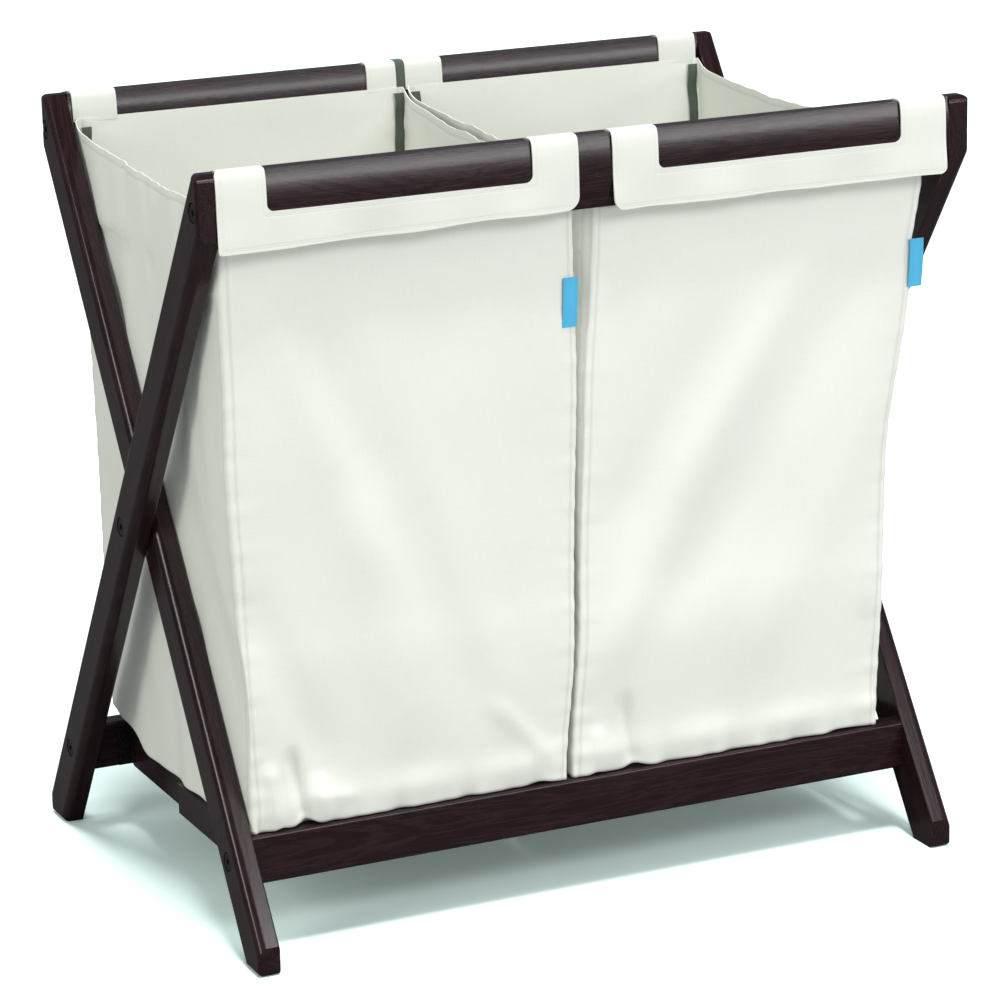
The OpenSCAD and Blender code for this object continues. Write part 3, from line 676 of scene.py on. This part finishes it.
# ---- Cuffs -----------------------------------------------------------------------
# The top of each bag turns over the rail as a cuff: two tabs pass over the wood on
# either side of a hand hole, and a hemmed flap hangs down outside.
(_, rail_back_y0, rail_low), (_, rail_back_y1, rail_high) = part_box("top_rail_back")
rail_y = (rail_back_y0 + rail_back_y1) / 2
hem_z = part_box("left_cuff_front")[0][2]
hole_z, hole_round = 0.7255, 0.0070
# The cuffs are the bags' own canvas painted darker, at 0.885 of its colour: painted shade that
# evens out the extra light they catch on top of the rails.
cuff_canvas_painted_shade = cloth_material("cuff canvas with painted shade", (0.885, 0.885, 0.885), 0.0007, 0.0036, 0.14)


def cuff_path(count):
    """Points of the cuff's section from the flap's hem up the outside, over the rail and down
    inside to the swing line, as (distance out from the rail's middle, height), and the length
    so far at each: the corner points are joined by a curve that halves them three times."""
    path = np.array([
        (0.0125, hem_z), (0.0126, hem_z + 0.020), (0.0126, rail_low + 0.035), (0.0120, 0.7500),
        (0.0100, 0.7625), (0.0062, rail_high + 0.0012), (0, rail_high + 0.0017),
        (-0.0062, rail_high + 0.0012), (-0.0100, 0.7625), (-0.0118, 0.7500),
        (-0.0126, swing_z - 0.0010)])
    for _ in range(3):
        cut = np.empty((2 * len(path) - 2, 2))
        cut[0::2] = 0.75 * path[:-1] + 0.25 * path[1:]
        cut[1::2] = 0.25 * path[:-1] + 0.75 * path[1:]
        path = np.concatenate([path[:1], cut, path[-1:]])
    run = np.concatenate([[0], np.cumsum(np.linalg.norm(np.diff(path, axis=0), axis=1))])
    even = np.linspace(0, run[-1], count)
    return np.stack([np.interp(even, run, path[:, 0]), np.interp(even, run, path[:, 1])], -1), even


def closing_in(count):
    """0 to 1 in steps that are small at first, for columns near a rounded corner."""
    return 1 - np.cos(np.linspace(0, math.pi / 2, count))


def round_off(radius, distance):
    """How far a rounded corner stands back at some distance along its edge."""
    return radius - np.sqrt(np.maximum(radius ** 2 - (radius - distance) ** 2, 0))


def cuff(name, front, x0, x1, hole, lift, corners=(0.013, 0.013), curls=(0.0016, 0.0016), over=0.0):
    """A cuff on a front (-1) or back (1) rail from x0 to x1, with a hand hole.

    The surface runs along the rail and round the cuff's section. One grid is the flap, from
    the hem, whose corners are rounded, up to the hole's lower edge; a grid each side carries
    the tabs on over the rail. lift raises the hem toward one end; corners are the two
    corners' radii, curls how far each end of the flap turns away from the bag, and over how
    far the flap's first end passes in front of the leg."""
    section, run = cuff_path(400)
    outside = 180
    hole_run = np.interp(hole_z, section[:outside, 1], run[:outside])
    h0, h1 = hole
    bend = hole_round * closing_in(9)
    left = [*(x0 + corners[0] * closing_in(8)), *np.linspace(x0 + corners[0], h0, 10)[1:]]
    mid = [*(h0 + bend[1:]), *np.linspace(h0 + hole_round, h1 - hole_round, 56)[1:],
           *(h1 - bend)[::-1][1:]]
    right = [*np.linspace(h1, x1 - corners[1], 10)[1:],
             *(x1 - corners[1] * closing_in(8))[::-1][1:]]
    x = np.array(left + mid + right)
    edge = np.minimum(x - x0, x1 - x)
    corner = np.where(x < (x0 + x1) / 2, *corners)
    start = np.where(edge < corner, round_off(corner, edge), 0)
    start = start + lift * ease(x0, x1, x) + 0.0010 * np.sin(x * 41) * ease(0, 0.05, edge)
    inset = np.clip(np.minimum(x - h0, h1 - x), 0, hole_round)
    top = hole_run + round_off(hole_round, inset)
    top = top + 0.0006 * np.sin(x * 33 + 1) * ease(0, 0.03, inset)

    def place(x_at, run_at):
        """Where a point along the rail and round the section comes, with a little looseness."""
        out, high = (np.interp(run_at, run, section[:, way]) for way in (0, 1))
        below = ease(0, 1, (0.728 - high) / 0.036) * (out > 0)
        loose = below * (0.0011 * np.sin(x_at * 27 + 2 * front) + 0.0009 * np.sin(x_at * 63))
        x_at = x_at - over * np.exp(-(x_at - x0) / 0.012) * ease(0.002, 0.010, out)
        curl = below * (curls[0] * np.exp(-(x_at - x0) / 0.010)
                        + curls[1] * np.exp(-(x1 - x_at) / 0.010))
        out = out + loose + curl + np.where(out > 0, 0.0009, 0)
        return np.stack([np.broadcast_to(x_at, run_at.shape), front * (rail_y + out), high], -1)

    flap_rows, tab_rows = 22, 40
    flap_run = start + np.linspace(0, 1, flap_rows)[:, None] * (top - start)
    points = [place(x, flap_run)]
    uv = [np.stack([np.broadcast_to(x, flap_run.shape), flap_run], -1)]
    faces, count = [grid_faces(flap_rows, len(x))], flap_run.size
    top_row = (flap_rows - 1) * len(x) + np.arange(len(x))
    for keep in (slice(0, len(left)), slice(len(left) + len(mid) - 1, len(x))):
        tab_run = top[keep] + np.linspace(0, 1, tab_rows)[1:, None] * (run[-1] - top[keep])
        points.append(place(x[keep], tab_run))
        uv.append(np.stack([np.broadcast_to(x[keep], tab_run.shape), tab_run], -1))
        numbers = np.concatenate([top_row[keep], count + np.arange(tab_run.size)])
        faces.append(numbers[grid_faces(tab_rows, tab_run.shape[1])])
        count += tab_run.size
    points, uv = (np.concatenate([grid.reshape(-1, width) for grid in grids])
                  for grids, width in ((points, 3), (uv, 2)))
    faces = np.concatenate(faces)
    if front < 0:
        faces = faces[:, ::-1]
    # Distance to the nearest hem: the flap's edge, the cuff's ends or the hand hole
    u, v = uv[:, 0], uv[:, 1]
    to_hole = np.hypot(np.maximum(np.maximum(h0 - u, u - h1), 0), np.maximum(hole_run - v, 0))
    to_end = np.minimum(u - x0, x1 - u)
    hem = np.minimum(np.minimum(to_end, v - lift * ease(x0, x1, u)), to_hole)
    piece = put_in_mesh(name, points, faces, uv, hem, cuff_canvas_painted_shade, 0.0015)
    side, _, rail, _ = name.split("_")
    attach(piece, "outer_frame" if front < 0 else "inner_frame")
    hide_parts(f"{side}_cuff_{rail}")


cuff("left_cuff_front_cloth", -1, -0.3777, -0.0220, (-0.333, -0.069), 0.005,
     (0.003, 0.013), (0, 0.0016), 0.0036)
cuff("right_cuff_front_cloth", -1, 0.0135, 0.3728, (0.061, 0.323), 0.0,
     (0.012, 0.007), (0.0042, 0.0030))
cuff("left_cuff_back_cloth", 1, -0.3505, 0.0050, (-0.304, -0.031), 0.0)
cuff("right_cuff_back_cloth", 1, 0.0090, 0.3505, (0.054, 0.307), 0.0)

# ---- Tapes -------------------------------------------------------------------------
# Grey-green hook-and-loop tape sewn up the corners inside each bag, where the cuffs
# close round the rails.
tape = cloth_material("grey-green tape", (0.105, 0.130, 0.112), 0.0005, 0.0014)


def ribbon(name, left, right, material, thickness, held, rests_on, samples=40):
    """A ribbon between two edge curves, each a function of the share along it; the surface runs
    straight from one edge to the other."""
    share, across_count = np.linspace(0, 1, samples)[:, None], 7
    a, b = left(share), right(share)
    width_share = np.linspace(0, 1, across_count)[None, :, None]
    points = a[:, None] * (1 - width_share) + b[:, None] * width_share
    middle_line = points[:, across_count // 2]
    run = np.concatenate([[0], np.cumsum(np.linalg.norm(np.diff(middle_line, axis=0), axis=1))])
    wide = float(np.linalg.norm(b[0] - a[0]))
    u = np.broadcast_to(width_share[0, :, 0] * wide, (samples, across_count))
    uv = np.stack([u, np.broadcast_to(run[:, None], u.shape)], -1)
    piece = put_in_mesh(name, points, grid_faces(samples, across_count), uv,
                        np.minimum(u, wide - u), material, thickness)
    return piece


def corner_tape(side, rail, place, x, toward, top, low):
    """One tape from height top to height low beside the corner seam at x, on the front or back
    panel's inner face, wandering a little as sewn tape does. The outer tape at each rail
    stands for both."""
    end = 1 if rail == "back" else -1

    def strip(offset):
        def at(share):
            z = top + (low - top) * share
            inner = 0.2268 - (0.737 - z) * 0.022 - 0.0030
            sway = 0.0009 * np.sin(share * 6 + x * 9) + 0.0003 * np.sin(share * 15)
            return np.concatenate([np.full_like(z, x + toward * offset) + sway,
                                   end * (inner - 0.0006 * np.sin(share * 11)), z], 1)
        return at
    edges = [strip(0.0), strip(0.0102)]
    if end * toward < 0:
        edges.reverse()
    piece = ribbon(f"{side}_tape_{rail}_{place}", *edges, tape, 0.0008, "hung", [f"{side}_bag"])
    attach(piece, f"{side}_bag_front")
    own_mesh(piece)
    if place == "outer":
        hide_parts(f"{side}_tapes_{rail}")


corner_tape("left", "back", "outer", -0.3430, 1, 0.7300, 0.6720)
corner_tape("left", "back", "inner", 0.0078, -1, 0.7330, 0.6620)
corner_tape("left", "front", "outer", -0.3560, 1, 0.7300, 0.6720)
corner_tape("left", "front", "inner", -0.0270, -1, 0.7300, 0.6720)
corner_tape("right", "back", "outer", 0.3505, -1, 0.7330, 0.6620)
corner_tape("right", "back", "inner", 0.0160, 1, 0.7330, 0.6720)
corner_tape("right", "front", "outer", 0.3440, -1, 0.7300, 0.6720)
corner_tape("right", "front", "inner", 0.0070, 1, 0.7300, 0.6720)

# One more length of the tape runs up over the back rail between the two bags' tabs. It
# follows the cuff's own section, drawn in to lie against the wood.
section, run = cuff_path(60)
over_rail = np.stack([section[:, 0] * 0.955, np.minimum(section[:, 1], rail_high + 0.0010)], -1)


def rail_tape_edge(x):
    """One edge of the tape, at one place along the rail."""
    def at(share):
        where = np.interp(share[:, 0], [0, 1], [run[-1], run[8]])
        out, high = (np.interp(where, run, over_rail[:, way]) for way in (0, 1))
        return np.stack([np.full(len(share), x), rail_y + out, high], 1)
    return at


rail_tape = ribbon("tape_over_rail", rail_tape_edge(0.0018), rail_tape_edge(0.0120), tape, 0.0006,
                   "draped", ["top_rail_back"], 60)
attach(rail_tape, "inner_frame")

# ---- Labels ------------------------------------------------------------------------
# A folded loop of plain blue woven ribbon caught in the right-hand seam of each
# bag's front; it carries no words.
label_blue = cloth_material("plain blue ribbon", (0.110, 0.57, 1.00), 0.0004, 0.0016)


def label(side, x_seam, z_top):
    """A ribbon that stands a little off the panel, bowed down its length."""
    wide, long = 0.015, 0.048

    def strip(x):
        def at(share):
            z = z_top - long * share
            front = 0.2262 - (0.737 - z) * 0.0335 + 0.0068
            bow = 0.0012 * np.sin(math.pi * share)
            return np.concatenate([np.full_like(z, x) - 0.0015 * share, -(front + bow), z], 1)
        return at
    piece = ribbon(f"{side}_label_ribbon", strip(x_seam - wide), strip(x_seam), label_blue, 0.0009,
                   "hung", [f"{side}_bag"])
    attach(piece, f"{side}_bag_front")
    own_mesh(piece)
    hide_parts(f"{side}_label")


label("left", -0.0138, 0.626)
label("right", 0.3625, 0.623)
